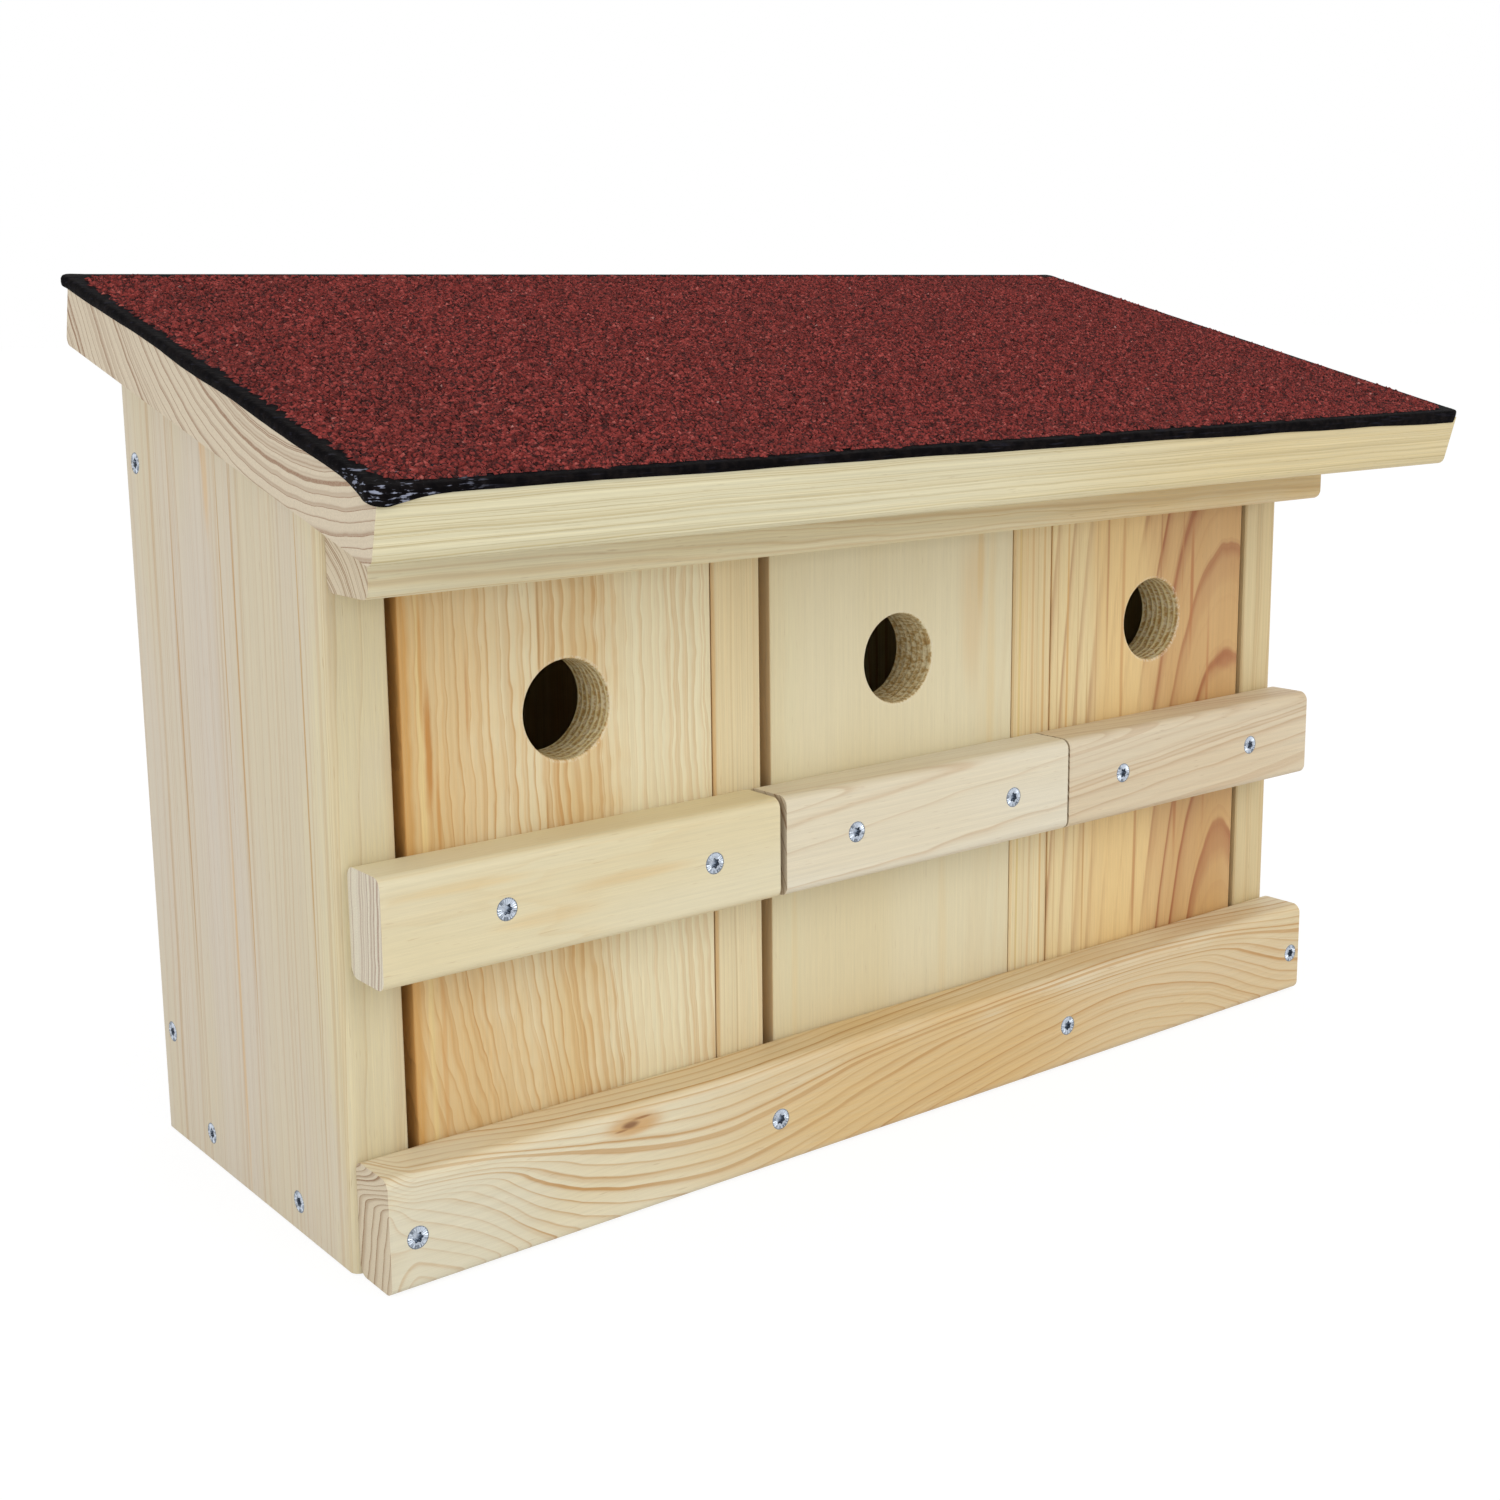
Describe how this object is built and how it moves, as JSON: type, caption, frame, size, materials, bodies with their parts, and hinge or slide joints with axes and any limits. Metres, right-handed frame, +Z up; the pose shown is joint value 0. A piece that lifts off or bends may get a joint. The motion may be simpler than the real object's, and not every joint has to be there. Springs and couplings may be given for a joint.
{
  "type": "sparrow terrace nest box",
  "caption": "Wooden terrace nest box with a row of chambers, a felted lean-to roof and lift-off fronts with entrance holes.",
  "frame": {"origin": "under the middle of the whole box, at the height of its feet", "axes": "+X to the right along the front as a viewer faces it, -Y out of the front, +Z up"},
  "size_m": [0.4676, 0.2148, 0.2995],
  "materials": {
    "side_pine": "planed, untreated",
    "post_pine": "planed, untreated",
    "roof_pine": "planed, untreated",
    "batten_pine": "planed, untreated",
    "orange_panel_pine": "planed, untreated",
    "pale_panel_pine": "planed, untreated",
    "striped_panel_pine": "planed, untreated",
    "handle_pine": "planed, untreated",
    "hidden_pine": "sawn, untreated",
    "red_felt": "mineral granules on bitumen",
    "zinc_screws": "zinc plated"
  },
  "bodies": {
    "box": {"left_side_wall": "side_pine", "right_side_wall": "side_pine", "floor_board": "hidden_pine", "back_wall": "side_pine", "left_partition": "post_pine", "right_partition": "post_pine", "roof_board": "roof_pine", "roof_felt": "red_felt", "upper_front_batten": "batten_pine", "lower_front_batten": "batten_pine", "lower_batten_screws": "zinc_screws", "left_wall_back_screws": "zinc_screws", "left_wall_floor_screws": "zinc_screws", "right_wall_back_screws": "zinc_screws", "right_wall_floor_screws": "zinc_screws", "back_partition_screws": "zinc_screws", "floor_partition_screws": "zinc_screws", "roof_post_screws": "zinc_screws", "roof_batten_screws": "zinc_screws"},
    "cover_left": {"front_panel_left": "orange_panel_pine", "handle_batten_left": "handle_pine", "handle_screws_left": "zinc_screws"},
    "cover_middle": {"front_panel_middle": "pale_panel_pine", "handle_batten_middle": "handle_pine", "handle_screws_middle": "zinc_screws"},
    "cover_right": {"front_panel_right": "striped_panel_pine", "handle_batten_right": "handle_pine", "handle_screws_right": "zinc_screws"}
  },
  "joints": [
    {"name": "cover_left_lift", "type": "slide", "parent": "box", "child": "cover_left", "axis": [0, 0, 1], "range_m": [0, 0.0175]},
    {"name": "cover_middle_lift", "type": "slide", "parent": "box", "child": "cover_middle", "axis": [0, 0, 1], "range_m": [0, 0.0175]},
    {"name": "cover_right_lift", "type": "slide", "parent": "box", "child": "cover_right", "axis": [0, 0, 1], "range_m": [0, 0.0175]}
  ]
}
